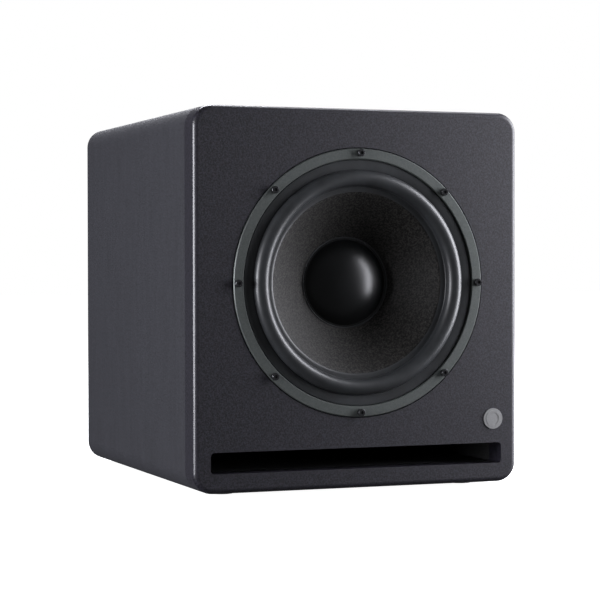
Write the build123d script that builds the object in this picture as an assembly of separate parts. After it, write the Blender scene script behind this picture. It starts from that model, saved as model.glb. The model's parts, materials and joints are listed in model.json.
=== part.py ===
from build123d import *
import math
import os

# Active studio subwoofer. X runs to the right as seen from the front, Y runs from the
# front to the rear and Z is up, with the floor at Z = 0. Depths are counted from the
# front face of the baffle, and write() then moves every piece onto the common origin.

# Cabinet
WIDTH = 332.0
HEIGHT = 360.0
DEPTH = 375.0
FOOT_H = 4.0
EDGE_R = 19.0
WRAP_T = 0.5
BAFFLE_T = 26.0
BAFFLE_ROUND = 5.0
SIDE_T = 16.0
DECK_T = 18.0
REAR_T = 15.0
BRACE_Y = 190.0
BRACE_T = 15.0
SHELF_T = 15.0
SHELF_END = 305.0
SLOT_H = 20.0
SLOT_CORNER = 3.5
PAD_T = 25.0
FOOT_R = 12.5
FOOT_X = 125.0
FOOT_DEPTHS = (45.0, 335.0)
BADGE_X = 140.5
BADGE_Z = 66.0
BADGE_R = 10.0

# Driver, a ten inch unit let into the baffle
DRIVER_Z = FOOT_H + 195.0
RIM_R = 127.3
RIM_IN = 117.3
REBATE_R = 128.3
CUTOUT_R = 116.5
REBATE_D = 6.0
RIM_PROUD = 1.0
GASKET_T = 1.0
SCREW_PCD_R = 123.0
SCREW_COUNT = 8
SCREW_R = 2.0
ROLL_R = 99.25
ROLL_OUT = 7.5
ROLL_IN = 6.5
ROLL_Y = 1.5
LIP_R = 86.0
CONE_EDGE_R = 92.5
LEDGE_Y = 3.0
CONE_Y = 5.0
CONE_SLOPE = 0.776
CONE_WALL = 1.1
CAP_R = 43.2
CAP_APEX = 21.0
CAP_WALL = 0.9
COIL_R = 25.0
FORMER_T = 0.5
WIRE_T = 1.5
FORMER_END = 100.0
WIND_START = 76.0
SPIDER_Y = 64.0
SPIDER_R = 71.8
SPIDER_T = 0.6
PLATE_Y = 84.0
PLATE_DEEP = 8.0
MAGNET_DEEP = 24.0
MAGNET_R = 70.0
POLE_R = 24.3
GAP_R = 27.6

# Rear amplifier
AMP_Z = 200.0
AMP_W = 240.0
AMP_H = 270.0
AMP_LIP = 12.0
SEAM_X = 2.0
PLATE_T = 3.0
REAR_PROUD = 22.0
PLATE_IN = DEPTH
PLATE_OUT = DEPTH + PLATE_T
BOX_DEEP = 83.0
BOX_WALL = 1.5
KNOB_X = (34.0, 86.0)
KNOB_Z = 300.0
KNOB_R = 9.0
SWITCH_Z = 262.0
XLR_Z = 222.0
JACK_Z = 176.0
INLET_X = 44.0
ROCKER_X = 92.0
POWER_Z = 102.0
TOGGLE_TILT = 12.0
ROCKER_TILT = 8.0
TOGGLE_PIVOT = PLATE_OUT + 3.0
ROCKER_PIVOT = PLATE_OUT - 3.0
WIRE_R = 1.5
WIRE_OFFSET = 4.0
WIRE_ROUTE = [(60, 301), (60, 262), (84, 226), (84, 172), (94, 120), (94, 70)]

# Derived places
FRONT_PROUD = ROLL_OUT - ROLL_Y
Y_FRONT = -(DEPTH + REAR_PROUD - FRONT_PROUD) / 2
MID_Z = FOOT_H + HEIGHT / 2
INNER_X = WIDTH / 2 - WRAP_T - SIDE_T
FLOOR_Z = FOOT_H + WRAP_T + DECK_T
CEILING_Z = FOOT_H + HEIGHT - WRAP_T - DECK_T
SHELF_Z = FLOOR_Z + SLOT_H
REAR_IN = DEPTH - REAR_T
AMP_X = AMP_W / 2
AMP_BOTTOM = AMP_Z - AMP_H / 2
AMP_TOP = AMP_Z + AMP_H / 2
POWER_TOP = AMP_BOTTOM + AMP_H / 3
INPUT_TOP = AMP_TOP - AMP_H / 3
BOX_FRONT = PLATE_IN - BOX_DEEP
CAVITY_R = COIL_R + FORMER_T


def block(x0, x1, y0, y1, z0, z1):
    """Rectangular solid between two corners."""
    centre = Pos((x0 + x1) / 2, (y0 + y1) / 2, (z0 + z1) / 2)
    return centre * Box(x1 - x0, y1 - y0, z1 - z0)


def slab(outline, y0, y1):
    """Outline drawn in X and Z, made solid from depth y0 to depth y1."""
    return extrude(Plane.XZ.offset(-y0) * outline, y0 - y1)


def bar(radius, y0, y1, x=0.0, z=DRIVER_Z):
    """Round bar along Y."""
    return slab(Pos(x, z) * Circle(radius), y0, y1)


def ring(outer, inner, y0, y1, x=0.0, z=DRIVER_Z):
    """Round ring along Y."""
    return bar(outer, y0, y1, x, z) - bar(inner, y0 - 1, y1 + 1, x, z)


def post(radius, x, y, z0, z1):
    """Round upright bar."""
    return Pos(x, y, (z0 + z1) / 2) * Cylinder(radius, z1 - z0)


def profile(start, *moves):
    """Closed face. A move is an end point, or a pair (mid, end) that makes an arc."""
    edges = []
    here = start
    for move in moves:
        if isinstance(move[0], tuple):
            mid, end = move
            edges.append(ThreePointArc(here, mid, end))
        else:
            end = move
            edges.append(Line(here, end))
        here = end
    edges.append(Line(here, start))
    return make_face(edges)


def turned(start, *moves):
    """Profile of (radius, depth) turned about the driver's axis."""
    return Pos(0, 0, DRIVER_Z) * revolve(profile(start, *moves), Axis.Y, 360)


def screw_circle(count=SCREW_COUNT, radius=SCREW_PCD_R):
    """Places (x, z) of the driver screws."""
    places = []
    for index in range(count):
        angle = math.radians(360 * index / count)
        places.append((radius * math.cos(angle), DRIVER_Z + radius * math.sin(angle)))
    return places


def group(pieces):
    """Separate solids that share one node."""
    return Compound(children=pieces)


# ---------------------------------------------------------------- cabinet


def sleeve_outline(inset):
    """Rounded cross-section of the cabinet, moved in by inset."""
    width = WIDTH - 2 * inset
    height = HEIGHT - 2 * inset
    return Pos(0, MID_Z) * RectangleRounded(width, height, EDGE_R - inset)


def foot_places():
    """Places (x, y) of the four feet."""
    return [(x, y) for x in (-FOOT_X, FOOT_X) for y in FOOT_DEPTHS]


def front_baffle():
    """Thick front board with the round front edge, the driver seat and the port slot."""
    board = slab(sleeve_outline(0), 0, BAFFLE_T)
    board = fillet(board.edges().group_by(Axis.Y)[0], BAFFLE_ROUND)
    board -= bar(REBATE_R, -1, REBATE_D)
    board -= bar(CUTOUT_R, 0, BAFFLE_T + 1)
    slot = RectangleRounded(2 * INNER_X, SLOT_H, SLOT_CORNER)
    board -= slab(Pos(0, FLOOR_Z + SLOT_H / 2) * slot, -1, BAFFLE_T + 1)
    for x, z in screw_circle():
        board -= bar(SCREW_R + 0.6, 0, BAFFLE_T + 1, x, z)
        board -= bar(3.0, BAFFLE_T - 8, BAFFLE_T + 1, x, z)
    return board


def deck_board(z0, z1):
    """Top or bottom board, with the long edges rounded under the wrap."""
    carcass = slab(sleeve_outline(WRAP_T), BAFFLE_T, DEPTH)
    return carcass & block(-WIDTH, WIDTH, 0, DEPTH + 1, z0, z1)


def bottom_panel():
    """Bottom board with the holes of the foot screws."""
    board = deck_board(FOOT_H, FLOOR_Z)
    for x, y in foot_places():
        board -= post(2.3, x, y, 0, FOOT_H + 15)
    return board


def side_panel(side):
    """Side board, side is -1 on the left and 1 on the right."""
    carcass = slab(sleeve_outline(WRAP_T), BAFFLE_T, DEPTH)
    x0, x1 = sorted((side * INNER_X, side * WIDTH))
    return carcass & block(x0, x1, BAFFLE_T, DEPTH, FLOOR_Z, CEILING_Z)


def vinyl_wrap():
    """Thin textured skin round the sleeve."""
    wrap = slab(sleeve_outline(0), BAFFLE_T, DEPTH) - slab(sleeve_outline(WRAP_T), 0, DEPTH + 1)
    for x, y in foot_places():
        wrap -= post(2.3, x, y, 0, FOOT_H + 2)
    return wrap


def rear_panel():
    """Rear board with the window for the amplifier."""
    board = block(-INNER_X, INNER_X, REAR_IN, DEPTH, FLOOR_Z, CEILING_Z)
    window = Rectangle(AMP_W - 2 * AMP_LIP, AMP_H - 2 * AMP_LIP)
    board -= slab(Pos(0, AMP_Z) * window, REAR_IN - 1, DEPTH + 1)
    for x, z in amp_screw_places():
        board -= bar(1.9, REAR_IN - 1, DEPTH + 1, x, z)
    return board


def port_shelf():
    """Board over the port channel."""
    return block(-INNER_X, INNER_X, BAFFLE_T, SHELF_END, SHELF_Z, SHELF_Z + SHELF_T)


def window_brace():
    """Board across the middle of the cabinet with one large window."""
    z0 = SHELF_Z + SHELF_T
    board = block(-INNER_X, INNER_X, BRACE_Y, BRACE_Y + BRACE_T, z0, CEILING_Z)
    window = Pos(0, (z0 + CEILING_Z) / 2) * RectangleRounded(190, CEILING_Z - z0 - 70, 20)
    return board - slab(window, BRACE_Y - 1, BRACE_Y + BRACE_T + 1)


def wadding_pads():
    """Absorbent pads on the two side boards, behind the brace."""
    pads = []
    for side in (-1, 1):
        x0, x1 = sorted((side * (INNER_X - PAD_T), side * INNER_X))
        y0 = BRACE_Y + BRACE_T + 1
        pads.append(block(x0, x1, y0, REAR_IN - 1, SHELF_Z + SHELF_T + 2, CEILING_Z - 2))
    return group(pads)


def badge():
    """Plain round badge with a raised ring."""
    disc = bar(BADGE_R, -0.8, 0, BADGE_X, BADGE_Z)
    return disc + ring(BADGE_R - 2.5, BADGE_R - 4, -1.1, -0.8, BADGE_X, BADGE_Z)


def rubber_feet():
    """Four rubber discs, recessed for their screws."""
    feet = []
    for x, y in foot_places():
        foot = post(FOOT_R, x, y, 0, FOOT_H)
        foot -= post(2.2, x, y, -1, FOOT_H + 1)
        foot -= post(4.5, x, y, -1, FOOT_H - 1.8)
        feet.append(foot)
    return group(feet)


def foot_screws():
    """Screws that hold the feet on the bottom board."""
    screws = []
    for x, y in foot_places():
        head = post(4.0, x, y, 0.6, FOOT_H - 1.8)
        shank = post(1.9, x, y, FOOT_H - 1.8, FOOT_H + 12.5)
        drive = Pos(x, y, 0.6) * (Box(4, 1, 1.2) + Box(1, 4, 1.2))
        screws.append(head + shank - drive)
    return group(screws)


# ----------------------------------------------------------------- driver


def cone_front(radius):
    """Depth of the cone's front face at a radius."""
    return CONE_Y + (LIP_R - radius) * CONE_SLOPE


def basket_spokes(y0, y1, width):
    """Six bars across the driver's axis that keep the spokes of the basket."""
    bars = []
    for angle in (30, 90, 150):
        bars.append(Rot(0, angle, 0) * Box(260, y1 - y0, width))
    return [Pos(0, (y0 + y1) / 2, DRIVER_Z) * item for item in bars]


def basket_windows(y0, y1, outer, width):
    """The gaps between the spokes over one stretch of depth."""
    gaps = ring(outer, 56, y0, y1)
    for spoke in basket_spokes(y0, y1, width):
        gaps -= spoke
    return gaps


def driver_basket():
    """Cast frame: rim, six spokes, spider landing and magnet seat."""
    flange_back = REBATE_D - GASKET_T
    chamfer = 0.8
    frame = turned(
        (RIM_R - chamfer, -RIM_PROUD),
        (RIM_IN + chamfer, -RIM_PROUD),
        (RIM_IN, chamfer - RIM_PROUD),
        (RIM_IN, LEDGE_Y),
        (106, LEDGE_Y),
        (104.5, 8),
        (76, 58),
        (76, SPIDER_Y),
        (66, SPIDER_Y),
        (66, PLATE_Y - 4),
        (45, PLATE_Y - 4),
        (45, PLATE_Y),
        (72, PLATE_Y),
        (72, SPIDER_Y + 4),
        (80.5, SPIDER_Y + 4),
        (111, flange_back),
        (RIM_R, flange_back),
        (RIM_R, chamfer - RIM_PROUD),
    )
    frame -= basket_windows(14, 56, 130, 18)
    frame -= basket_windows(SPIDER_Y + 6, PLATE_Y - 5, 90, 18)
    for x, z in screw_circle():
        frame -= bar(SCREW_R + 0.3, -2, REBATE_D, x, z)
    return frame


def driver_gasket():
    """Foam ring under the rim of the basket."""
    gasket = ring(RIM_R, CUTOUT_R + 0.5, REBATE_D - GASKET_T, REBATE_D)
    for x, z in screw_circle():
        gasket -= bar(SCREW_R + 0.5, 0, REBATE_D + 1, x, z)
    return gasket


def driver_screws():
    """Socket head screws with a six-sided socket."""
    screws = []
    for x, z in screw_circle():
        head = bar(3.5, -RIM_PROUD - 4, -RIM_PROUD, x, z)
        head = chamfer(head.edges().group_by(Axis.Y)[0], 0.4)
        shank = bar(SCREW_R, -RIM_PROUD, BAFFLE_T + 2, x, z)
        hexagon = RegularPolygon(1.5, 6, major_radius=False)
        socket = slab(Pos(x, z) * hexagon, -RIM_PROUD - 5, -RIM_PROUD - 2)
        screws.append(head + shank - socket)
    return group(screws)


def tee_nuts():
    """Flanged nuts pressed into the back of the baffle."""
    nuts = []
    for x, z in screw_circle():
        nut = bar(2.9, BAFFLE_T - 8, BAFFLE_T, x, z) + bar(6, BAFFLE_T, BAFFLE_T + 1.2, x, z)
        nuts.append(nut - bar(SCREW_R + 0.1, 0, BAFFLE_T + 2, x, z))
    return group(nuts)


def surround():
    """Rubber half roll between the basket and the cone."""
    flange_y = 1.0
    lip_y = CONE_Y - 0.8
    start_r = ROLL_R + math.sqrt(ROLL_OUT ** 2 - (ROLL_Y - flange_y) ** 2)
    return turned(
        (RIM_IN - 0.2, flange_y),
        (start_r, flange_y),
        ((ROLL_R, ROLL_Y - ROLL_OUT), (ROLL_R - ROLL_OUT, ROLL_Y)),
        (ROLL_R - ROLL_OUT, lip_y),
        (LIP_R + 0.5, lip_y),
        (LIP_R + 0.5, CONE_Y),
        (ROLL_R - ROLL_IN, CONE_Y),
        (ROLL_R - ROLL_IN, ROLL_Y),
        ((ROLL_R, ROLL_Y - ROLL_IN), (ROLL_R + ROLL_IN, ROLL_Y)),
        (ROLL_R + ROLL_IN, LEDGE_Y),
        (RIM_IN - 0.2, LEDGE_Y),
    )


def cone():
    """Stiff paper cone with a flat outer lip."""
    return turned(
        (CONE_EDGE_R, CONE_Y),
        (LIP_R, CONE_Y),
        (CAVITY_R, cone_front(CAVITY_R)),
        (CAVITY_R, cone_front(CAVITY_R) + CONE_WALL),
        (LIP_R + 0.3, CONE_Y + 0.9),
        (CONE_EDGE_R, CONE_Y + 0.8),
    )


def dust_cap():
    """Domed cap with a narrow glued rim."""
    rim_in = CAP_R - 2.4
    rim_y = cone_front(CAP_R) - 0.7
    rise = rim_y - CAP_APEX
    dome_r = (rim_in ** 2 + rise ** 2) / (2 * rise)
    shell = Sphere(dome_r) - Sphere(dome_r - CAP_WALL)
    shell = Pos(0, CAP_APEX + dome_r, DRIVER_Z) * shell
    reach = CAP_R + 5
    dome = shell & block(-reach, reach, CAP_APEX - 1, rim_y + 0.4, DRIVER_Z - reach, DRIVER_Z + reach)
    rim = turned(
        (rim_in - 0.6, rim_y),
        (CAP_R, rim_y),
        (CAP_R, cone_front(CAP_R)),
        (rim_in - 0.6, cone_front(rim_in - 0.6)),
    )
    return dome + rim


def voice_coil_former():
    """Thin tube that carries the coil."""
    return ring(CAVITY_R, COIL_R, cone_front(CAVITY_R) - 1, FORMER_END)


def voice_coil_winding():
    """Copper winding on the former."""
    return ring(CAVITY_R + WIRE_T, CAVITY_R, WIND_START, FORMER_END)


def spider():
    """Corrugated cloth disc that centres the coil."""
    pitch = 4.0
    wave = 1.4
    first = 30.0
    count = 8
    front = SPIDER_Y - SPIDER_T
    out = []
    back = []
    for index in range(count):
        r0 = first + index * pitch
        bend = wave if index % 2 else -wave
        out.append(((r0 + pitch / 2, front + bend), (r0 + pitch, front)))
        back.insert(0, ((r0 + pitch / 2, SPIDER_Y + bend), (r0, SPIDER_Y)))
    last = first + count * pitch
    return turned(
        (CAVITY_R + 0.4, front),
        (first, front),
        *out,
        (SPIDER_R, front),
        (SPIDER_R, SPIDER_Y),
        (last, SPIDER_Y),
        *back,
        (CAVITY_R + 0.4, SPIDER_Y),
    )


def swept_cord(points, z, radius):
    """Round cord along points (x, y) at one height, with wide tangent bends."""
    radii = []
    for before, here, after in zip(points, points[1:], points[2:]):
        run_in = math.dist(before, here)
        run_out = math.dist(here, after)
        heading_in = math.atan2(here[1] - before[1], here[0] - before[0])
        heading_out = math.atan2(after[1] - here[1], after[0] - here[0])
        turn = abs(math.remainder(heading_out - heading_in, 2 * math.pi))
        radii.append(0.45 * min(run_in, run_out) / math.tan(turn / 2))
    print("cord bend radii", [round(value, 1) for value in radii])
    path = FilletPolyline(*[(x, y, z) for x, y in points], radius=radii)
    section = Plane(origin=path @ 0, z_dir=path % 0) * Circle(radius)
    return sweep(section, path=path)


def tinsel_leads():
    """Two flexible leads from the terminal block to the back of the cone."""
    end_r = 48.3
    route = [(87, 53), (72, 50.5), (58.3, 46), (end_r, cone_front(end_r) + CONE_WALL + 0.3)]
    return group([swept_cord(route, DRIVER_Z + side * 6, 0.8) for side in (-1, 1)])


def terminal_block():
    """Block on the basket with two tabs for the speaker wires."""
    body = block(87, 101, 50, 68, DRIVER_Z - 12, DRIVER_Z + 12)
    for side in (-1, 1):
        z = DRIVER_Z + side * WIRE_OFFSET
        body += bar(2.4, 68, 70, WIRE_ROUTE[-1][0], z)
    return body


def magnet_top_plate():
    """Steel ring in front of the magnet."""
    return ring(62, GAP_R, PLATE_Y, PLATE_Y + PLATE_DEEP)


def magnet_ring():
    """Ferrite ring magnet."""
    y0 = PLATE_Y + PLATE_DEEP
    return ring(MAGNET_R, 35, y0, y0 + MAGNET_DEEP)


def pole_yoke():
    """Steel back plate with the vented pole piece."""
    back = PLATE_Y + PLATE_DEEP + MAGNET_DEEP
    yoke = bar(62, back, back + PLATE_DEEP) + bar(POLE_R, PLATE_Y, back)
    return yoke - bar(8, PLATE_Y - 1, back + PLATE_DEEP + 1)


def magnet_boot():
    """Rubber band round the magnet."""
    y0 = PLATE_Y + PLATE_DEEP
    return ring(MAGNET_R + 3, MAGNET_R, y0 - 2, y0 + MAGNET_DEEP + 2)


# -------------------------------------------------------------- amplifier


def amp_screw_places():
    """Places (x, z) of the screws along the edge of the amplifier."""
    inset = 6
    side_z = [AMP_BOTTOM + 7, POWER_TOP - 7, INPUT_TOP + 7, AMP_TOP - 7]
    places = [(side * (AMP_X - inset), z) for side in (-1, 1) for z in side_z]
    places += [(AMP_X - inset, POWER_TOP + 7), (AMP_X - inset, INPUT_TOP - 7)]
    places += [(side * 57, z) for side in (-1, 1) for z in (AMP_BOTTOM + 6, AMP_TOP - 6)]
    return places


def drilled(plate):
    """Plate with the clearance holes of the amplifier screws."""
    for x, z in amp_screw_places():
        plate -= bar(2.1, PLATE_IN - 1, PLATE_OUT + 1, x, z)
    return plate


def heatsink():
    """Extruded aluminium half of the rear plate with upright fins."""
    sink = block(-AMP_X, SEAM_X, PLATE_IN, PLATE_OUT, AMP_BOTTOM, AMP_TOP)
    sink = drilled(sink)
    for index in range(13):
        x = -106 + 8 * index
        fin = block(x, x + 2.2, PLATE_OUT - 1, DEPTH + REAR_PROUD, AMP_BOTTOM + 17, AMP_TOP - 17)
        sink += fin
    return sink


def plate_blank(z0, z1):
    """One of the three plates on the connector side."""
    return drilled(block(SEAM_X, AMP_X, PLATE_IN, PLATE_OUT, z0, z1))


def control_plate():
    """Plate with the holes of the knobs, the phase switch and the lamp."""
    plate = plate_blank(INPUT_TOP, AMP_TOP)
    for x in KNOB_X:
        plate -= bar(4.6, PLATE_IN - 1, PLATE_OUT + 1, x, KNOB_Z)
    plate -= bar(3.7, PLATE_IN - 1, PLATE_OUT + 1, KNOB_X[0], SWITCH_Z)
    plate -= bar(2.7, PLATE_IN - 1, PLATE_OUT + 1, KNOB_X[1], SWITCH_Z)
    return plate


def input_plate():
    """Plate with the holes of the inputs and the outputs."""
    plate = plate_blank(POWER_TOP, INPUT_TOP)
    for x in KNOB_X:
        plate -= bar(11.3, PLATE_IN - 1, PLATE_OUT + 1, x, XLR_Z)
        plate -= block(x - 3.8, x + 3.8, PLATE_IN - 1, PLATE_OUT + 1, XLR_Z + 8, XLR_Z + 15)
        plate -= bar(6.1, PLATE_IN - 1, PLATE_OUT + 1, x, JACK_Z)
    return plate


def power_plate():
    """Plate with the cut-outs of the mains inlet and the power switch."""
    plate = plate_blank(AMP_BOTTOM, POWER_TOP)
    inlet = Pos(INLET_X, POWER_Z) * Rectangle(44.4, 36.4)
    rocker = Pos(ROCKER_X, POWER_Z) * Rectangle(19.2, 27.2)
    for opening in (inlet, rocker):
        plate -= slab(opening, PLATE_IN - 1, PLATE_OUT + 1)
    return plate


def amp_screws():
    """Pan head screws along the edge of the amplifier."""
    screws = []
    for x, z in amp_screw_places():
        head = bar(3.5, PLATE_OUT, PLATE_OUT + 2.2, x, z)
        head = fillet(head.edges().group_by(Axis.Y)[-1], 1.2)
        drive = Rectangle(4, 0.9) + Rectangle(0.9, 4)
        cross = slab(Pos(x, z) * drive, PLATE_OUT + 1, PLATE_OUT + 3)
        screws.append(head + bar(1.75, DEPTH - 14, PLATE_OUT, x, z) - cross)
    return group(screws)


def amp_back_box():
    """Sealed steel tray that keeps the electronics apart from the driver's air."""
    half_x = 105
    half_z = 120
    tray = block(-half_x, half_x, BOX_FRONT, PLATE_IN, AMP_Z - half_z, AMP_Z + half_z)
    inside = half_x - BOX_WALL
    inside_z = half_z - BOX_WALL
    tray -= block(-inside, inside, BOX_FRONT + BOX_WALL, PLATE_IN + 1,
                  AMP_Z - inside_z, AMP_Z + inside_z)
    for x in (-92, 92):
        for z in (188, 308):
            tray += bar(3, BOX_FRONT + BOX_WALL, BOX_FRONT + 13, x, z)
    return tray - bar(7, BOX_FRONT - 1, BOX_FRONT + 3, WIRE_ROUTE[0][0])


def wire_grommet():
    """Rubber bush where the speaker wires leave the tray."""
    x = WIRE_ROUTE[0][0]
    bush = bar(7, BOX_FRONT - 3, BOX_FRONT + 4, x)
    for side in (-1, 1):
        bush -= bar(WIRE_R, BOX_FRONT - 4, BOX_FRONT + 5, x, DRIVER_Z + side * WIRE_OFFSET)
    return bush


def main_circuit_board():
    """Circuit board on the four studs of the tray."""
    y0 = BOX_FRONT + 13
    return block(-98, 98, y0, y0 + 1.6, 182, 314)


def toroidal_transformer():
    """Ring transformer bolted to the rear plate."""
    return ring(43, 14, PLATE_IN - 38, PLATE_IN, -52, 130)


def filter_capacitors():
    """Four electrolytic cans on the circuit board."""
    board = BOX_FRONT + 14.6
    cans = []
    for x in (-84, -54):
        for z in (206, 238):
            cans.append(bar(12.5, board, board + 40, x, z))
    return group(cans)


def power_transistors():
    """Four flat power devices against the heatsink."""
    devices = []
    for index in range(4):
        x = -90 + 22 * index
        devices.append(block(x, x + 16, PLATE_IN - 5, PLATE_IN, 272, 293))
    return group(devices)


def control_pots():
    """Two potentiometers with their threaded bushes and nuts."""
    pots = []
    for x in KNOB_X:
        pot = bar(8, PLATE_IN - 10, PLATE_IN, x, KNOB_Z)
        pot += bar(4.5, PLATE_IN - 1, PLATE_OUT + 4, x, KNOB_Z)
        nut = Pos(x, KNOB_Z) * RegularPolygon(6, 6, major_radius=False)
        pot += slab(nut, PLATE_OUT, PLATE_OUT + 2)
        pots.append(pot - bar(3.4, PLATE_IN - 9, PLATE_OUT + 5, x, KNOB_Z))
    return group(pots)


def control_knob(x):
    """Fluted knob on its spindle, with a pointer groove."""
    y0 = PLATE_OUT + 5
    y1 = DEPTH + REAR_PROUD - 1
    knob = bar(KNOB_R, y0, y1, x, KNOB_Z)
    knob = chamfer(knob.edges().group_by(Axis.Y)[-1], 0.8)
    for index in range(12):
        angle = math.radians(15 + 30 * index)
        groove_x = x + (KNOB_R + 0.5) * math.cos(angle)
        groove_z = KNOB_Z + (KNOB_R + 0.5) * math.sin(angle)
        knob -= bar(1.3, y0 + 2, y1 - 1.6, groove_x, groove_z)
    knob -= block(x - 0.6, x + 0.6, y1 - 0.6, y1 + 1, KNOB_Z + 2, KNOB_Z + KNOB_R - 2)
    return knob + bar(3, PLATE_IN - 8, y0 + 1, x, KNOB_Z)


def xlr_input(x):
    """Three-pole balanced input with a square flange."""
    flange = Pos(x, XLR_Z) * RectangleRounded(26, 31, 3)
    socket = slab(flange, PLATE_OUT, PLATE_OUT + 2) + bar(11, PLATE_IN - 20, PLATE_OUT + 1, x, XLR_Z)
    socket -= ring(9.5, 7.9, PLATE_OUT - 13, PLATE_OUT + 3, x, XLR_Z)
    for angle in (30, 150, 270):
        pin_x = x + 4.2 * math.cos(math.radians(angle))
        pin_z = XLR_Z + 4.2 * math.sin(math.radians(angle))
        socket -= bar(1.3, PLATE_OUT - 10, PLATE_OUT + 3, pin_x, pin_z)
    return socket - block(x - 3.4, x + 3.4, PLATE_OUT - 1, PLATE_OUT + 3, XLR_Z + 11.4, XLR_Z + 14.6)


def xlr_latch(x):
    """Release tab over the input."""
    return block(x - 3, x + 3, PLATE_IN - 6, PLATE_OUT + 4.5, XLR_Z + 11.8, XLR_Z + 14.2)


def jack_output(x):
    """Quarter inch output jack with its nut."""
    jack = block(x - 7.5, x + 7.5, PLATE_IN - 22, PLATE_IN, JACK_Z - 7.5, JACK_Z + 7.5)
    jack += bar(5.9, PLATE_IN - 1, PLATE_OUT + 4, x, JACK_Z)
    nut = Pos(x, JACK_Z) * RegularPolygon(7.5, 6, major_radius=False)
    jack += slab(nut, PLATE_OUT, PLATE_OUT + 2.5)
    return jack - bar(3.25, PLATE_IN - 20, PLATE_OUT + 5, x, JACK_Z)


def power_inlet():
    """Mains inlet with three blades and a bay for the fuse drawer."""
    flange = Pos(INLET_X, POWER_Z) * RectangleRounded(50, 40, 3)
    inlet = slab(flange, PLATE_OUT, PLATE_OUT + 2.5)
    inlet += block(INLET_X - 22, INLET_X + 22, PLATE_IN - 24, PLATE_OUT + 1,
                   POWER_Z - 18, POWER_Z + 18)
    recess = Pos(INLET_X, POWER_Z + 6) * RectangleRounded(24.6, 16.6, 2)
    inlet -= slab(recess, PLATE_OUT - 13.5, PLATE_OUT + 3)
    bay = Pos(INLET_X, POWER_Z - 11) * Rectangle(25, 10.6)
    inlet -= slab(bay, PLATE_IN - 20, PLATE_OUT + 3)
    for x, z in ((-7, 5), (0, 9), (7, 5)):
        blade = Pos(INLET_X + x, POWER_Z + z) * Rectangle(2, 4)
        inlet += slab(blade, PLATE_OUT - 14, PLATE_OUT - 0.5)
    return inlet


def fuse_drawer():
    """Drawer with a fuse trough and a finger lip."""
    z = POWER_Z - 11
    drawer = block(INLET_X - 12.1, INLET_X + 12.1, PLATE_IN - 19, PLATE_OUT + 3, z - 4.9, z + 4.9)
    lip = block(INLET_X - 6, INLET_X + 6, PLATE_OUT + 2, PLATE_OUT + 5, z - 4.9, z - 3.4)
    trough = Pos(INLET_X, PLATE_IN - 8, z + 4.9) * Rot(0, 90, 0) * Cylinder(2.8, 20)
    return drawer + lip - trough


def rocker_frame():
    """Frame of the power switch."""
    flange = Pos(ROCKER_X, POWER_Z) * RectangleRounded(22, 30, 2)
    frame = slab(flange, PLATE_OUT, PLATE_OUT + 2)
    frame += block(ROCKER_X - 9.5, ROCKER_X + 9.5, PLATE_IN - 18, PLATE_OUT + 1,
                   POWER_Z - 13.5, POWER_Z + 13.5)
    return frame - block(ROCKER_X - 7.5, ROCKER_X + 7.5, PLATE_IN - 14, PLATE_OUT + 3,
                         POWER_Z - 11.6, POWER_Z + 11.6)


def power_rocker():
    """Rocker with a shallow valley, at rest on its lower side."""
    half = 7.1
    outline = Polyline((0, 4.2), (10.3, 6.4), (10.3, -1), (5, -6), (-5, -6), (-10.3, -1),
                       (-10.3, 6.4), (0, 4.2))
    face = Plane((0, 0, 0), x_dir=(0, 0, 1), z_dir=(1, 0, 0)) * make_face(outline)
    rocker = Pos(-half, 0, 0) * extrude(face, 2 * half)
    if rocker.bounding_box().max.Y < 6:
        rocker = Rot(0, 0, 180) * rocker
    return Pos(ROCKER_X, ROCKER_PIVOT, POWER_Z) * Rot(ROCKER_TILT, 0, 0) * rocker


def toggle_bushing():
    """Body and threaded bush of the phase switch."""
    x = KNOB_X[0]
    body = block(x - 6, x + 6, PLATE_IN - 12, PLATE_IN, SWITCH_Z - 6, SWITCH_Z + 6)
    body += bar(3.5, PLATE_IN - 1, PLATE_OUT + 7, x, SWITCH_Z)
    nut = Pos(x, SWITCH_Z) * RegularPolygon(5, 6, major_radius=False)
    body += slab(nut, PLATE_OUT, PLATE_OUT + 2)
    return body - bar(2.6, PLATE_IN - 4, PLATE_OUT + 8, x, SWITCH_Z)


def phase_toggle():
    """Small lever that turns on a ball inside the bush, at rest on its lower side."""
    lever = Sphere(2.1) + Pos(0, 7, 0) * Rot(90, 0, 0) * Cylinder(1.1, 14)
    lever += Pos(0, 13, 0) * Sphere(1.6)
    return Pos(KNOB_X[0], TOGGLE_PIVOT, SWITCH_Z) * Rot(-TOGGLE_TILT, 0, 0) * lever


def status_led():
    """Round lamp that shows the power and the protection state."""
    x = KNOB_X[1]
    lamp = bar(2.5, PLATE_IN - 4, PLATE_OUT + 0.5, x, SWITCH_Z)
    lamp += Pos(x, PLATE_OUT + 0.5, SWITCH_Z) * Sphere(2.5)
    return lamp + bar(3.3, PLATE_IN - 5, PLATE_IN, x, SWITCH_Z)


def speaker_wire(side):
    """Insulated wire from the tray to the driver, side is -1 or 1."""
    return swept_cord(WIRE_ROUTE, DRIVER_Z + side * WIRE_OFFSET, WIRE_R)


def wire_clip():
    """Clip in the window of the brace that holds both wires."""
    y0 = BRACE_Y + 6
    y1 = BRACE_Y + BRACE_T
    clip = block(79, 95, y0, y1, DRIVER_Z - 8, DRIVER_Z + 8)
    for side in (-1, 1):
        clip -= bar(WIRE_R, y0 - 1, y1 + 1, WIRE_ROUTE[2][0], DRIVER_Z + side * WIRE_OFFSET)
    return clip


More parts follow.
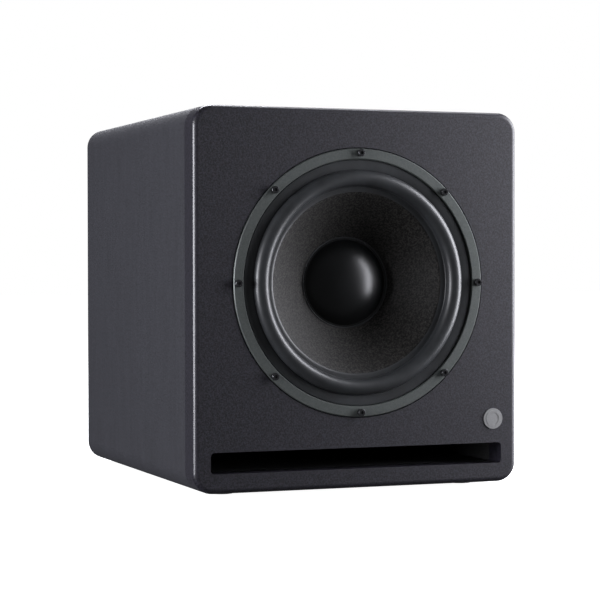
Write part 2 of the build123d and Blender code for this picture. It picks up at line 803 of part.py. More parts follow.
def all_parts():
    """Every node of the subwoofer by name."""
    return {
        "front_baffle": front_baffle(),
        "side_panel_left": side_panel(-1),
        "side_panel_right": side_panel(1),
        "top_panel": deck_board(CEILING_Z, FOOT_H + HEIGHT),
        "bottom_panel": bottom_panel(),
        "rear_panel": rear_panel(),
        "vinyl_wrap": vinyl_wrap(),
        "port_shelf": port_shelf(),
        "window_brace": window_brace(),
        "wadding_pads": wadding_pads(),
        "badge": badge(),
        "rubber_feet": rubber_feet(),
        "foot_screws": foot_screws(),
        "driver_basket": driver_basket(),
        "driver_gasket": driver_gasket(),
        "driver_screws": driver_screws(),
        "tee_nuts": tee_nuts(),
        "surround": surround(),
        "spider": spider(),
        "tinsel_leads": tinsel_leads(),
        "magnet_top_plate": magnet_top_plate(),
        "magnet_ring": magnet_ring(),
        "pole_yoke": pole_yoke(),
        "magnet_boot": magnet_boot(),
        "terminal_block": terminal_block(),
        "cone": cone(),
        "dust_cap": dust_cap(),
        "voice_coil_former": voice_coil_former(),
        "voice_coil_winding": voice_coil_winding(),
        "heatsink": heatsink(),
        "control_plate": control_plate(),
        "input_plate": input_plate(),
        "power_plate": power_plate(),
        "amp_screws": amp_screws(),
        "amp_back_box": amp_back_box(),
        "wire_grommet": wire_grommet(),
        "main_circuit_board": main_circuit_board(),
        "toroidal_transformer": toroidal_transformer(),
        "filter_capacitors": filter_capacitors(),
        "power_transistors": power_transistors(),
        "control_pots": control_pots(),
        "volume_knob": control_knob(KNOB_X[0]),
        "crossover_knob": control_knob(KNOB_X[1]),
        "xlr_input_left": xlr_input(KNOB_X[0]),
        "xlr_input_right": xlr_input(KNOB_X[1]),
        "xlr_latch_left": xlr_latch(KNOB_X[0]),
        "xlr_latch_right": xlr_latch(KNOB_X[1]),
        "jack_output_left": jack_output(KNOB_X[0]),
        "jack_output_right": jack_output(KNOB_X[1]),
        "power_inlet": power_inlet(),
        "fuse_drawer": fuse_drawer(),
        "rocker_frame": rocker_frame(),
        "power_rocker": power_rocker(),
        "toggle_bushing": toggle_bushing(),
        "phase_toggle": phase_toggle(),
        "status_led": status_led(),
        "speaker_wire_red": speaker_wire(-1),
        "speaker_wire_black": speaker_wire(1),
        "wire_clip": wire_clip(),
    }


def write(name, part):
    """Move a piece onto the common origin and write its file."""
    export_step(Pos(0, Y_FRONT, 0) * part, os.path.join("parts", name + ".step"))


os.makedirs("parts", exist_ok=True)
for part_name, part_solid in all_parts().items():
    write(part_name, part_solid)
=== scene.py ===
import json
import math

import bmesh
import bpy
import numpy as np
from mathutils import Matrix, Vector


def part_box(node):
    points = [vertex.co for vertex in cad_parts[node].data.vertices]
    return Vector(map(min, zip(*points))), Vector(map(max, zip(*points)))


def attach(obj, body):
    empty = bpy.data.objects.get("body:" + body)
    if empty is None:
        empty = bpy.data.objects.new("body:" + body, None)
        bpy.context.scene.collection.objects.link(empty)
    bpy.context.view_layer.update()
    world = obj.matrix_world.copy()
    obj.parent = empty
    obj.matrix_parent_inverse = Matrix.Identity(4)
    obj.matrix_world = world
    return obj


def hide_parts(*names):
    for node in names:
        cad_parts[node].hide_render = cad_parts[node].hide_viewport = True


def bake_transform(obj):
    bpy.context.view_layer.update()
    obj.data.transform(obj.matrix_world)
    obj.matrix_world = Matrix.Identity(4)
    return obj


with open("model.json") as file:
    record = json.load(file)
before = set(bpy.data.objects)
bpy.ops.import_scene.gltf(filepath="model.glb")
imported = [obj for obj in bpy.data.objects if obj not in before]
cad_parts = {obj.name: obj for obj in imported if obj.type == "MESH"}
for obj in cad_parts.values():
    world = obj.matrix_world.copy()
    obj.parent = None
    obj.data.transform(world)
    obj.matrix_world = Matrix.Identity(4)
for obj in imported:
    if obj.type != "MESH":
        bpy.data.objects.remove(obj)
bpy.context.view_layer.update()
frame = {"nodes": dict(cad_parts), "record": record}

nodes = frame["nodes"]
MM = 0.001

# Places read from the frame, in metres
FRONT_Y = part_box("front_baffle")[0].y
PLATE_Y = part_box("control_plate")[1].y
DRIVER_Z = sum(corner.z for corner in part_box("cone")) / 2


# ---------------------------------------------------------------- camera, light, floor

CAMERA_LENS = 116.21                        # focal length in mm
CAMERA_TURN = (21.126, -1.015, -0.083)      # yaw, pitch and roll in degrees
CAMERA_PLACE = (-0.71545, FRONT_Y - 1.69348, 0.21533)
AIM_HEIGHT = 0.2                            # what every lamp looks at, above the floor
FLOOR_REACH = 12
LAVENDER = (0.93, 0.935, 1.0)

# Name, azimuth in degrees, distance, height, width and height of the panel, watts
LIGHTS = (
    ("right_box", 69, 1.0, 0.4, (0.75, 1.0), 34),
    ("left_strip", -80, 2.1, 0.21, (0.95, 0.85), 80),
    ("rear_high", 176, 1.5, 2.2, (1.2, 0.6), 75),
    ("right_high", 112, 0.9, 2.2, (0.6, 0.6), 12),
)


def make_camera():
    """Long lens at the left front, a little above the middle of the cabinet."""
    yaw, pitch, roll = (math.radians(angle) for angle in CAMERA_TURN)
    ahead = math.cos(pitch)
    forward = Vector((math.sin(yaw) * ahead, math.cos(yaw) * ahead, math.sin(pitch)))
    level = Vector((math.cos(yaw), -math.sin(yaw), 0))
    rise = level.cross(forward)
    right = level * math.cos(roll) + rise * math.sin(roll)
    up = rise * math.cos(roll) - level * math.sin(roll)
    data = bpy.data.cameras.new("camera")
    data.lens = CAMERA_LENS
    data.sensor_width = 36
    data.clip_start = 0.05
    camera = bpy.data.objects.new("camera", data)
    turn = Matrix((right, up, -forward)).transposed()
    camera.matrix_world = Matrix.Translation(CAMERA_PLACE) @ turn.to_4x4()
    bpy.context.scene.collection.objects.link(camera)
    bpy.context.scene.camera = camera


def softbox(name, azimuth, distance, height, size, watts):
    """Rectangular light that looks at the cabinet. Azimuth 0 is in front and 90 at the right."""
    data = bpy.data.lights.new(name, "AREA")
    data.shape = "RECTANGLE"
    data.size, data.size_y = size
    data.energy = watts
    data.color = LAVENDER
    light = bpy.data.objects.new(name, data)
    angle = math.radians(azimuth)
    place = Vector((math.sin(angle) * distance, -math.cos(angle) * distance, height))
    light.location = place
    aim = Vector((0, 0, AIM_HEIGHT)) - place
    light.rotation_euler = aim.to_track_quat("-Z", "Y").to_euler()
    light.visible_camera = False
    bpy.context.scene.collection.objects.link(light)


def make_world():
    """White to the eye, dim as a source of light."""
    world = bpy.data.worlds.new("studio")
    bpy.context.scene.world = world
    world.use_nodes = True
    tree = world.node_tree
    tree.nodes.clear()
    seen = tree.nodes.new("ShaderNodeBackground")
    seen.inputs["Color"].default_value = (1, 1, 1, 1)
    fill = tree.nodes.new("ShaderNodeBackground")
    fill.inputs["Color"].default_value = (0.93, 0.95, 1, 1)
    fill.inputs["Strength"].default_value = 0.10
    path = tree.nodes.new("ShaderNodeLightPath")
    mix = tree.nodes.new("ShaderNodeMixShader")
    out = tree.nodes.new("ShaderNodeOutputWorld")
    tree.links.new(path.outputs["Is Camera Ray"], mix.inputs[0])
    tree.links.new(fill.outputs[0], mix.inputs[1])
    tree.links.new(seen.outputs[0], mix.inputs[2])
    tree.links.new(mix.outputs[0], out.inputs[0])


def make_floor():
    """Large pale floor that doesn't show in the gloss of the object."""
    mesh = bpy.data.meshes.new("floor")
    signs = ((-1, -1), (1, -1), (1, 1), (-1, 1))
    corners = [(x * FLOOR_REACH, y * FLOOR_REACH, 0) for x, y in signs]
    mesh.from_pydata(corners, [], [(0, 1, 2, 3)])
    floor = bpy.data.objects.new("floor", mesh)
    bpy.context.scene.collection.objects.link(floor)
    pale = bpy.data.materials.new("floor_pale")
    pale.use_nodes = True
    shader = pale.node_tree.nodes["Principled BSDF"]
    shader.inputs["Base Color"].default_value = (0.6, 0.6, 0.6, 1)
    shader.inputs["Roughness"].default_value = 1
    shader.inputs["Specular IOR Level"].default_value = 0
    shader.inputs["Emission Color"].default_value = (1, 1, 1, 1)
    shader.inputs["Emission Strength"].default_value = 0.985
    mesh.materials.append(pale)
    floor.visible_glossy = False
    floor.visible_diffuse = False


make_camera()
make_world()
make_floor()
bpy.context.scene.view_settings.view_transform = "Standard"
for light_facts in LIGHTS:
    softbox(*light_facts)


# ------------------------------------------------------------------------- materials


# The colour sockets of a Mix node, which has others of the same name
COLOUR_A, COLOUR_B, COLOUR_OUT = 6, 7, 2


class Finish:
    """A procedural material, with short ways to add its textures."""

    def __init__(self, name, roughness=0.5, metallic=0.0, specular=0.5):
        self.material = bpy.data.materials.new(name)
        self.material.use_nodes = True
        self.tree = self.material.node_tree
        self.shader = self.tree.nodes["Principled BSDF"]
        self.set("Roughness", roughness)
        self.set("Metallic", metallic)
        self.set("Specular IOR Level", specular)
        self.place = self.add("ShaderNodeTexCoord").outputs["Object"]
        self.normal = None

    def add(self, kind):
        return self.tree.nodes.new(kind)

    def set(self, socket, value):
        self.shader.inputs[socket].default_value = value

    def link(self, source, target):
        self.tree.links.new(source, target)

    def stretched(self, scale):
        """Object position multiplied along each axis."""
        node = self.add("ShaderNodeMapping")
        node.inputs["Scale"].default_value = scale
        self.link(self.place, node.inputs["Vector"])
        return node.outputs["Vector"]

    def noise(self, scale, detail=3.0, roughness=0.6, stretch=(1, 1, 1)):
        node = self.add("ShaderNodeTexNoise")
        node.inputs["Scale"].default_value = scale
        node.inputs["Detail"].default_value = detail
        node.inputs["Roughness"].default_value = roughness
        self.link(self.stretched(stretch), node.inputs["Vector"])
        return node.outputs["Fac"]

    def cells(self, scale):
        node = self.add("ShaderNodeTexVoronoi")
        node.inputs["Scale"].default_value = scale
        self.link(self.stretched((1, 1, 1)), node.inputs["Vector"])
        return node.outputs["Distance"]

    def maths(self, operation, a, b=None):
        node = self.add("ShaderNodeMath")
        node.operation = operation
        for socket, value in zip(node.inputs, (a, b)):
            if value is None:
                continue
            if isinstance(value, (int, float)):
                socket.default_value = value
            else:
                self.link(value, socket)
        return node.outputs[0]

    def weave(self, turns):
        """Crossing threads, by the angle that each turns through in a metre."""
        split = self.add("ShaderNodeSeparateXYZ")
        self.link(self.place, split.inputs[0])
        warp = self.maths("SINE", self.maths("MULTIPLY", split.outputs["X"], turns))
        weft = self.maths("SINE", self.maths("MULTIPLY", split.outputs["Z"], turns))
        return self.maths("MULTIPLY", warp, weft)

    def driver_radius(self):
        """Distance from the driver's axis, in metres."""
        split = self.add("ShaderNodeSeparateXYZ")
        self.link(self.place, split.inputs[0])
        side = self.maths("MULTIPLY", split.outputs["X"], split.outputs["X"])
        up = self.maths("SUBTRACT", split.outputs["Z"], DRIVER_Z)
        return self.maths("SQRT", self.maths("ADD", side, self.maths("MULTIPLY", up, up)))

    def depth_share(self, start, end):
        """0 up to a depth behind the baffle's face, 1 from another depth on, in metres."""
        split = self.add("ShaderNodeSeparateXYZ")
        self.link(self.place, split.inputs[0])
        node = self.add("ShaderNodeMapRange")
        node.inputs["From Min"].default_value = FRONT_Y + start
        node.inputs["From Max"].default_value = FRONT_Y + end
        self.link(split.outputs["Y"], node.inputs["Value"])
        return node.outputs["Result"]

    def ramp(self, value, *stops):
        """Colour by a value. A stop is (position, (r, g, b))."""
        node = self.add("ShaderNodeValToRGB")
        band = node.color_ramp
        while len(band.elements) < len(stops):
            band.elements.new(0.5)
        for element, (position, colour) in zip(band.elements, stops):
            element.position = position
            element.color = (*colour, 1)
        self.link(value, node.inputs["Fac"])
        return node.outputs["Color"]

    def blend(self, a, b, share):
        """Mix of two colours by a value."""
        node = self.add("ShaderNodeMix")
        node.data_type = "RGBA"
        self.link(share, node.inputs["Factor"])
        self.link(a, node.inputs[COLOUR_A])
        self.link(b, node.inputs[COLOUR_B])
        return node.outputs[COLOUR_OUT]

    def colour(self, value):
        self.link(value, self.shader.inputs["Base Color"])

    def rough(self, value, low, high):
        """Roughness that varies with a value."""
        node = self.add("ShaderNodeMapRange")
        node.inputs["To Min"].default_value = low
        node.inputs["To Max"].default_value = high
        self.link(value, node.inputs["Value"])
        self.link(node.outputs["Result"], self.shader.inputs["Roughness"])

    def bump(self, value, depth, strength=1.0):
        """Relief of a depth in metres. Calls add up."""
        node = self.add("ShaderNodeBump")
        node.inputs["Strength"].default_value = strength
        node.inputs["Distance"].default_value = depth
        self.link(value, node.inputs["Height"])
        if self.normal is not None:
            self.link(self.normal, node.inputs["Normal"])
        self.normal = node.outputs["Normal"]
        self.link(self.normal, self.shader.inputs["Normal"])


def grey(level, warm=0.0):
    """Grey with a little warmth, or a little blue where warm is negative."""
    return (level * (1 + warm), level, level * (1 - warm))


def paint_finish():
    """Matt textured paint of the baffle, with a fine blue and pink fleck and smoother edges."""
    finish = Finish("baffle_paint", 0.52)
    fine = finish.noise(620, 2, 0.75)
    tint = finish.noise(380, 1, 0.5)
    blue = finish.ramp(fine, (0.36, (0.003, 0.0034, 0.005)), (0.66, (0.025, 0.027, 0.039)))
    pink = finish.ramp(fine, (0.36, (0.0045, 0.0038, 0.005)), (0.66, (0.036, 0.029, 0.039)))
    finish.colour(finish.blend(blue, pink, tint))
    edge = finish.depth_share(0.0002, 0.0016)
    finish.rough(edge, 0.52, 0.34)
    finish.bump(fine, 0.00016, 0.5)
    finish.bump(finish.noise(2600, 1), 0.00005, 0.4)
    return finish.material


def vinyl_finish():
    """Grained vinyl with faint upright streaks."""
    finish = Finish("vinyl", 0.5)
    grain = finish.noise(800, 3, 0.75)
    streak = finish.noise(140, 2, 0.6, (1, 1, 0.12))
    low = finish.ramp(grain, (0.36, (0.0085, 0.0085, 0.0105)), (0.64, (0.026, 0.026, 0.032)))
    high = finish.ramp(grain, (0.36, (0.015, 0.015, 0.018)), (0.64, (0.043, 0.043, 0.052)))
    finish.colour(finish.blend(low, high, streak))
    finish.rough(grain, 0.46, 0.62)
    finish.bump(grain, 0.00014, 0.6)
    finish.bump(finish.cells(650), 0.0001, 0.35)
    return finish.material


def board_finish():
    """Black stained fibreboard."""
    finish = Finish("black_board", 0.85, specular=0.2)
    fibre = finish.noise(1100, 4, 0.7)
    finish.colour(finish.ramp(fibre, (0.3, grey(0.012)), (0.75, grey(0.034))))
    finish.bump(fibre, 0.0001, 0.5)
    return finish.material


def rim_finish():
    """Satin grey paint of the basket's rim with a slight turned grain."""
    finish = Finish("rim_grey", 0.42, 0.35)
    turning = finish.maths("SINE", finish.maths("MULTIPLY", finish.driver_radius(), 9000.0))
    mottle = finish.noise(700, 2)
    finish.colour(finish.ramp(mottle, (0.3, (0.09, 0.1, 0.095)), (0.7, (0.12, 0.131, 0.125))))
    finish.rough(mottle, 0.38, 0.48)
    finish.bump(turning, 0.00002, 0.25)
    finish.bump(mottle, 0.00004, 0.3)
    return finish.material


def rubber_finish(name, level, low, high, scale=500):
    """Moulded rubber with a faint bloom."""
    finish = Finish(name, low)
    bloom = finish.noise(45, 3)
    pores = finish.noise(scale, 2)
    dark = grey(level * 0.75, -0.05)
    finish.colour(finish.ramp(bloom, (0.3, dark), (0.7, grey(level * 1.25, -0.07))))
    finish.rough(pores, low, high)
    finish.bump(pores, 0.00004, 0.35)
    return finish.material


def cone_finish():
    """Coated woven cone: crossing threads, with light and dark flecks."""
    finish = Finish("cone_paper", 0.55, specular=0.22)
    weave = finish.weave(5200.0)
    fibre = finish.noise(560, 2, 0.8)
    fleck = finish.noise(900, 1, 0.5)
    base = finish.ramp(fibre, (0.42, (0.0034, 0.0032, 0.003)), (0.6, (0.0235, 0.0222, 0.0205)))
    light = finish.ramp(fibre, (0.42, (0.014, 0.0132, 0.012)), (0.6, (0.07, 0.066, 0.06)))
    finish.colour(finish.blend(base, light, finish.maths("POWER", fleck, 2.0)))
    finish.rough(fibre, 0.48, 0.64)
    finish.bump(weave, 0.0001, 0.5)
    finish.bump(fibre, 0.00016, 0.5)
    return finish.material


def plastic_finish(name, level, roughness, grain=1200, depth=0.00004):
    """Moulded plastic with a fine spark grain."""
    finish = Finish(name, roughness)
    spark = finish.noise(grain, 2)
    wear = finish.noise(30, 2)
    finish.colour(finish.ramp(wear, (0.3, grey(level * 0.8)), (0.7, grey(level * 1.25))))
    finish.rough(spark, roughness - 0.05, roughness + 0.07)
    finish.bump(spark, depth, 0.4)
    return finish.material


def metal_finish(name, colour, roughness, stretch=(1, 1, 1), scale=500, metallic=1.0):
    """Metal with a brushed or tumbled surface."""
    finish = Finish(name, roughness, metallic)
    brush = finish.noise(scale, 3, 0.6, stretch)
    dark = tuple(c * 0.82 for c in colour)
    light = tuple(min(1, c * 1.12) for c in colour)
    finish.colour(finish.ramp(brush, (0.3, dark), (0.7, light)))
    finish.rough(brush, roughness - 0.06, roughness + 0.08)
    finish.bump(brush, 0.00003, 0.3)
    return finish.material


def cloth_finish(name, colour, scale=900, depth=0.0002):
    """Open weave of crossing threads."""
    finish = Finish(name, 0.9, specular=0.2)
    weave = finish.weave(scale * 6.0)
    shade = finish.noise(120, 3)
    finish.colour(finish.ramp(shade, (0.3, tuple(c * 0.75 for c in colour)), (0.7, colour)))
    finish.bump(weave, depth, 0.5)
    return finish.material


def lamp_finish():
    """Lit blue lens."""
    finish = Finish("lamp", 0.2)
    cloud = finish.noise(900, 1)
    glow = finish.ramp(cloud, (0.2, (0.02, 0.12, 0.7)), (0.8, (0.08, 0.3, 1.0)))
    finish.colour(glow)
    finish.link(glow, finish.shader.inputs["Emission Color"])
    finish.set("Emission Strength", 1.2)
    return finish.material


FINISHES = {
    "baffle_paint": paint_finish(),
    "vinyl": vinyl_finish(),
    "fibreboard": board_finish(),
    "wadding": cloth_finish("wadding", (0.62, 0.62, 0.58), 300, 0.0008),
    "badge_grey": metal_finish("badge_grey", (0.42, 0.42, 0.42), 0.38, (1, 1, 12), 300, 0.7),
    "rubber": rubber_finish("rubber", 0.02, 0.6, 0.75),
    "surround_rubber": rubber_finish("surround_rubber", 0.03, 0.34, 0.44),
    "rim_grey": rim_finish(),
    "foam": rubber_finish("foam", 0.02, 0.85, 0.95, 1500),
    "black_steel": metal_finish("black_steel", (0.1, 0.1, 0.105), 0.24, metallic=0.9),
    "zinc_steel": metal_finish("zinc_steel", (0.55, 0.55, 0.53), 0.35),
    "spider_cloth": cloth_finish("spider_cloth", (0.5, 0.36, 0.16)),
    "copper_braid": metal_finish("copper_braid", (0.7, 0.4, 0.22), 0.4, scale=2500),
    "ferrite": plastic_finish("ferrite", 0.045, 0.6, 700, 0.0001),
    "terminal_plastic": plastic_finish("terminal_plastic", 0.02, 0.45),
    "cone_paper": cone_finish(),
    "cap_black": rubber_finish("cap_black", 0.006, 0.3, 0.36, 900),
    "former": metal_finish("former", (0.5, 0.5, 0.5), 0.35),
    "copper": metal_finish("copper", (0.6, 0.28, 0.14), 0.3, (1, 40, 1), 400),
    "heatsink_black": metal_finish("heatsink_black", (0.025, 0.025, 0.027), 0.42,
                                   (1, 1, 0.05), 900, 0.5),
    "plate_black": plastic_finish("plate_black", 0.022, 0.48, 1400, 0.0001),
    "circuit_green": plastic_finish("circuit_green", 0.06, 0.35),
    "transformer_tape": plastic_finish("transformer_tape", 0.05, 0.3),
    "can_black": plastic_finish("can_black", 0.02, 0.3),
    "knob_black": plastic_finish("knob_black", 0.018, 0.4),
    "connector_black": plastic_finish("connector_black", 0.015, 0.42),
    "nickel": metal_finish("nickel", (0.6, 0.59, 0.56), 0.25),
    "lamp": lamp_finish(),
    "wire_red": rubber_finish("wire_red", 0.2, 0.45, 0.6),
    "wire_black": rubber_finish("wire_black", 0.02, 0.45, 0.6),
    "print_white": plastic_finish("print_white", 0.55, 0.5),
}


def dress(obj, slot):
    """Give an object the finish of a slot, in place of what it had."""
    if not obj.material_slots:
        obj.data.materials.append(None)
    for place in obj.material_slots:
        place.material = FINISHES[slot]


for part in frame["record"]["subparts"]:
    dress(nodes[part["node"]], part["material_slot"])


# ------------------------------------------------------------------------ mesh helpers


def new_object(name, vertices, faces, slot, body, smooth=True):
    """Mesh piece in the row frame that rides on a body."""
    mesh = bpy.data.meshes.new(name)
    mesh.from_pydata([tuple(v) for v in vertices], [], faces)
    mesh.validate()
    tool = bmesh.new()
    tool.from_mesh(mesh)
    bmesh.ops.recalc_face_normals(tool, faces=tool.faces)
    tool.to_mesh(mesh)
    tool.free()
    if smooth:
        mesh.polygons.foreach_set("use_smooth", [True] * len(mesh.polygons))
        mesh.set_sharp_from_angle(angle=math.radians(38))
    obj = bpy.data.objects.new(name, mesh)
    bpy.context.scene.collection.objects.link(obj)
    dress(obj, slot)
    if body:
        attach(obj, body)
    return obj


def arc(centre_r, centre_y, radius, start, end, count):
    """Points of an arc in (radius, depth), with 90 degrees towards the front."""
    points = []
    for index in range(count + 1):
        angle = math.radians(start + (end - start) * index / count)
        points.append((centre_r + radius * math.cos(angle), centre_y - radius * math.sin(angle)))
    return points


def lathe_data(profile, steps=240):
    """Vertices and faces of a closed profile of (radius, depth) in mm, turned about the
    driver's axis. Points on the axis become one vertex each."""
    vertices, rings, faces = [], [], []
    for radius, depth in profile:
        y = FRONT_Y + depth * MM
        if radius < 1e-6:
            rings.append([len(vertices)] * steps)
            vertices.append((0.0, y, DRIVER_Z))
            continue
        first = len(vertices)
        rings.append(list(range(first, first + steps)))
        for step in range(steps):
            angle = 2 * math.pi * step / steps
            vertices.append((radius * MM * math.cos(angle), y,
                             DRIVER_Z + radius * MM * math.sin(angle)))
    for near, far in zip(rings, rings[1:] + rings[:1]):
        for step in range(steps):
            follow = (step + 1) % steps
            corners = (near[step], near[follow], far[follow], far[step])
            corners = list(dict.fromkeys(corners))
            if len(corners) > 2:
                faces.append(corners)
    return vertices, faces


def radial_blend(obj):
    """Bake the ring's placement into its mesh."""
    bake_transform(obj)


# ------------------------------------------------------------------------------ driver

# Routes are (x, depth behind the baffle's face), offsets lie above and below the axis, in mm
TINSEL_ROUTE = [(87, 53), (72, 50.5), (58.3, 46), (48.3, 35.6)]
TINSEL_OFFSET = 6
TINSEL_R = 0.8
WIRE_ROUTE = [(60, 301), (60, 262), (84, 226), (84, 172), (94, 120), (94, 70)]
WIRE_OFFSET = 4
WIRE_R = 1.5


def make_surround():
    """Half roll with a flat flange, a crease on each side of the roll and a glued lip."""
    roll_r, roll_y, outer, inner = 99.25, 1.5, 7.5, 6.5
    profile = [(116.5, 1.3), (116.2, 1.0), (108.1, 1.0), (107.3, 1.3)]
    profile += arc(roll_r, roll_y, outer, 0, 180, 40)
    profile += [(91.7, 3.6), (91.2, 4.1), (88.8, 4.25), (87.2, 4.6), (86.5, 5.0)]
    profile += [(92.75, 5.0)]
    profile += arc(roll_r, roll_y, inner, 180, 0, 30)
    profile += [(105.75, 3.0), (116.5, 3.0)]
    vertices, faces = lathe_data(profile)
    ring = new_object("surround_rubber", vertices, faces, "surround_rubber", None)
    radial_blend(ring)
    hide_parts("surround")


def make_spider():
    """Corrugated cloth ring behind the cone."""
    depth, thick, height = 63.4, 0.6, 1.4
    waves_start, waves_width, half_wave = 30, 32, 4
    steps = 96
    profile = [(25.9, depth)]
    for index in range(steps + 1):
        along = waves_width * index / steps
        wave = math.sin(math.pi * along / half_wave)
        profile.append((waves_start + along, depth - height * wave))
    profile.append((71.8, depth))
    back = [(radius, place + thick) for radius, place in reversed(profile)]
    vertices, faces = lathe_data(profile + back, 144)
    ring = new_object("spider_cloth", vertices, faces, "spider_cloth", None)
    radial_blend(ring)
    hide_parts("spider")


def wire_points(route, offset):
    """A route of (x, depth) in mm as points in metres, offset in mm above the driver's axis."""
    return [(x * MM, FRONT_Y + y * MM, DRIVER_Z + offset * MM) for x, y in route]


def wire_object(name, points, radius, roundness, smoothness):
    """Round wire on one smooth spline through control points, all in metres."""
    curve = bpy.data.curves.new(name, "CURVE")
    curve.dimensions = "3D"
    curve.bevel_depth = radius
    curve.bevel_resolution = roundness
    curve.use_fill_caps = True
    spline = curve.splines.new("NURBS")
    spline.points.add(len(points) - 1)
    for place, point in zip(spline.points, points):
        place.co = (*point, 1)
    spline.order_u = 3
    spline.use_endpoint_u = True
    spline.resolution_u = smoothness
    return bpy.data.objects.new(name, curve)


def tube(points, radius):
    """Vertices and faces of a wire along points in metres."""
    holder = wire_object("route", points, radius, 3, 10)
    curve = holder.data
    mesh = bpy.data.meshes.new_from_object(holder)
    vertices = [tuple(v.co) for v in mesh.vertices]
    faces = [tuple(p.vertices) for p in mesh.polygons]
    bpy.data.objects.remove(holder)
    bpy.data.curves.remove(curve)
    bpy.data.meshes.remove(mesh)
    return vertices, faces


def make_tinsel_leads():
    """Two flexible leads from the terminal block to the cone."""
    vertices, faces = [], []
    for side in (-1, 1):
        more, shapes = tube(wire_points(TINSEL_ROUTE, side * TINSEL_OFFSET), TINSEL_R * MM)
        faces += [tuple(index + len(vertices) for index in shape) for shape in shapes]
        vertices += more
    leads = new_object("tinsel_pair", vertices, faces, "copper_braid", None)
    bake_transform(leads)
    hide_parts("tinsel_leads")


def make_cone():
    """Smooth turned cone and dust cap, with the dust cap's glue bead."""
    slope, lip_r, lip_y = 0.776, 86.0, 5.0

    def front(radius):
        return lip_y + (lip_r - radius) * slope

    profile = [(92.5, lip_y), (86.6, lip_y), (86.0, lip_y + 0.15)]
    profile += [(radius, front(radius)) for radius in np.linspace(85.0, 25.5, 24)]
    profile += [(radius, front(radius) + 1.1) for radius in np.linspace(25.5, 84.0, 8)]
    profile += [(86.3, lip_y + 0.9), (92.5, lip_y + 0.8)]
    cone = new_object("cone_shell", *lathe_data([tuple(map(float, p)) for p in profile]),
                      "cone_paper", "cone_assembly")
    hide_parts("cone")

    rim_r, dome_in, apex = 43.2, 40.8, 21.0
    rim_y = front(rim_r) - 0.7
    rise = rim_y - apex
    dome_r = (dome_in ** 2 + rise ** 2) / (2 * rise)
    edge = math.degrees(math.asin(dome_in / dome_r))
    dome = arc(0, apex + dome_r, dome_r, 90, 90 - edge, 40)
    dome[0] = (0.0, apex)
    inside = arc(0, apex + dome_r, dome_r - 0.9, 90 - edge, 90, 16)
    inside[-1] = (0.0, apex + 0.9)
    rim = [(41.3, rim_y + 0.25), (41.7, rim_y - 0.05), (42.8, rim_y), (rim_r, rim_y + 0.3),
           (rim_r, front(rim_r)), (dome_in, front(dome_in))]
    cap = new_object("dust_cap_dome", *lathe_data(dome + rim + inside),
                     "cap_black", "cone_assembly")
    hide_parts("dust_cap")

    bead = arc(rim_r + 0.5, front(rim_r + 0.5), 0.85, 0, 360, 16)[:-1]
    glue = new_object("cap_glue_bead", *lathe_data(bead, 180),
                      "surround_rubber", "cone_assembly")


def make_speaker_wires():
    """Two insulated wires from the amplifier's tray to the terminal block."""
    for colour, side in (("red", -1), ("black", 1)):
        points = wire_points(WIRE_ROUTE, side * WIRE_OFFSET)
        lead = wire_object("speaker_lead_" + colour, points, WIRE_R * MM, 4, 12)
        bpy.context.scene.collection.objects.link(lead)
        dress(lead, "wire_" + colour)
        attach(lead, "cabinet")
        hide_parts("speaker_wire_" + colour)


make_surround()
make_spider()
make_tinsel_leads()
make_cone()
make_speaker_wires()


# ------------------------------------------------------------------------------ inside


def make_wadding():
    """Two soft pads with pillowed faces on the side boards."""
    low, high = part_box("wadding_pads")
    thick, play = 0.025, 0.006
    for side in (-1, 1):
        x0 = low.x if side < 0 else high.x - thick
        tool = bmesh.new()
        bmesh.ops.create_cube(tool, size=1)
        size = Vector((thick - play / 3, high.y - low.y - play, high.z - low.z - play))
        middle = Vector((x0 + thick / 2, (low.y + high.y) / 2, (low.z + high.z) / 2))
        bmesh.ops.subdivide_edges(tool, edges=tool.edges, cuts=14, use_grid_fill=True)
        for vertex in tool.verts:
            u, v, w = vertex.co * 2
            plump = 0.72 + 0.28 * (1 - abs(v) ** 6) * (1 - abs(w) ** 6)
            dimple = 0.05 * math.sin(v * 9.4) * math.sin(w * 14.1)
            vertex.co = middle + Vector((u * size.x / 2 * (plump - abs(dimple)),
                                         v * size.y / 2, w * size.z / 2))
        mesh = bpy.data.meshes.new("wadding")
        tool.to_mesh(mesh)
        tool.free()
        pad = bpy.data.objects.new("wadding_left" if side < 0 else "wadding_right", mesh)
        mesh.polygons.foreach_set("use_smooth", [True] * len(mesh.polygons))
        bpy.context.scene.collection.objects.link(pad)
        dress(pad, "wadding")
        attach(pad, "cabinet")
        if side < 0:
            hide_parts("wadding_pads")


make_wadding()


# -------------------------------------------------------------------------------- rear


# The sides of a box whose first four corners are one face and last four the other
BOX_SIDES = ((0, 1, 2, 3), (4, 5, 6, 7), (0, 1, 5, 4), (1, 2, 6, 5), (2, 3, 7, 6), (3, 0, 4, 7))

TICKS = 11              # 300 degrees of scale, a tick every 30
TICK_START = 0.0115     # from the knob's axis
TICK_END = 0.0135
LONG_TICK_END = 0.0145
TICK_HALF = 0.00035
PRINT_T = 0.00015


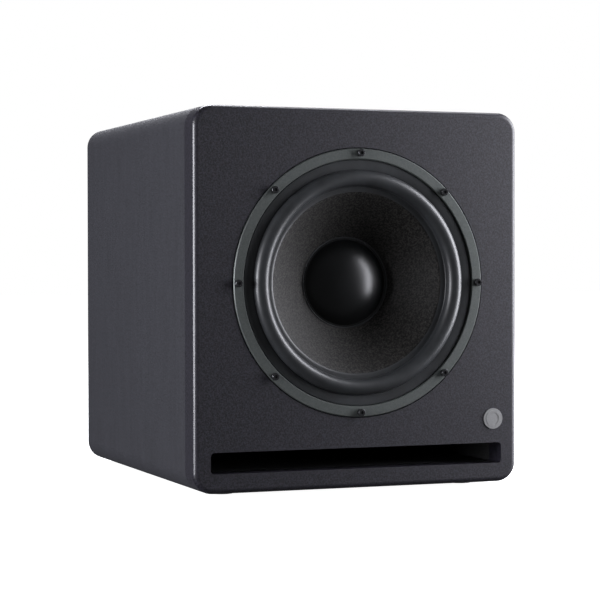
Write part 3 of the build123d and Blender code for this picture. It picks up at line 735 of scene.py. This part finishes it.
def make_ticks(name, knob, body):
    """Printed scale round a knob, and the white line in its pointer groove."""
    low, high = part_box(knob)
    x, z = (low.x + high.x) / 2, (low.z + high.z) / 2
    vertices, faces = [], []
    for index in range(TICKS):
        angle = math.radians(90 + 150 - 30 * index)
        along = Vector((math.cos(angle), 0, math.sin(angle)))
        across = Vector((-along.z, 0, along.x)) * TICK_HALF
        middle = Vector((x, PLATE_Y, z))
        end = LONG_TICK_END if index % 5 == 0 else TICK_END
        base = len(vertices)
        for y in (0.0, PRINT_T):
            for reach, side in ((TICK_START, -1), (TICK_START, 1), (end, 1), (end, -1)):
                vertices.append(middle + along * reach + across * side + Vector((0, y, 0)))
        faces += [tuple(base + i for i in shape) for shape in BOX_SIDES]
    new_object(name + "_scale", vertices, faces, "print_white", "cabinet", False)
    y0, y1 = high.y - 4 * PRINT_T, high.y - PRINT_T
    corners = [(x + a * 0.00055, y, z + c) for y in (y0, y1)
               for a, c in ((-1, 0.0022), (1, 0.0022), (1, 0.0068), (-1, 0.0068))]
    new_object(name + "_pointer", corners, BOX_SIDES, "print_white", body, False)


SCREW_SIDE, SCREW_UP = 0.0098, 0.0122   # from the middle of an input's flange
SCREW_HEAD_R = 2.0                      # in mm


def hex_screw(name, x, z, y, radius):
    """Low button head with a six-sided socket, facing the rear."""
    steps = 48
    rows = [(radius, 0.0), (radius, 0.35), (radius * 0.86, 0.8), (radius * 0.6, 1.0)]
    socket = radius * 0.42
    vertices, faces = [], []
    for row in range(6):
        for step in range(steps):
            angle = 2 * math.pi * step / steps
            if row < 4:
                reach, rise = rows[row]
            else:
                reach = socket / math.cos((angle % (math.pi / 3)) - math.pi / 6)
                rise = 1.0 if row == 4 else 0.3
            vertices.append((x + reach * MM * math.cos(angle), y + rise * MM,
                             z + reach * MM * math.sin(angle)))
    for row in range(5):
        for step in range(steps):
            follow = (step + 1) % steps
            faces.append((row * steps + step, row * steps + follow,
                          (row + 1) * steps + follow, (row + 1) * steps + step))
    faces.append(tuple(range(steps)))
    faces.append(tuple(5 * steps + step for step in range(steps)))
    new_object(name, vertices, faces, "black_steel", "cabinet")


def make_rear():
    """Scales, pointers and the small screws of the sockets."""
    make_ticks("volume", "volume_knob", "volume_control")
    make_ticks("crossover", "crossover_knob", "crossover_control")
    for side in ("left", "right"):
        low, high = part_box("xlr_input_" + side)
        for place, (sx, sz) in {"a": (-1, 1), "b": (1, -1)}.items():
            x = (low.x + high.x) / 2 + sx * SCREW_SIDE
            z = (low.z + high.z) / 2 + sz * SCREW_UP
            hex_screw(f"xlr_{side}_screw_{place}", x, z, high.y, SCREW_HEAD_R)


make_rear()
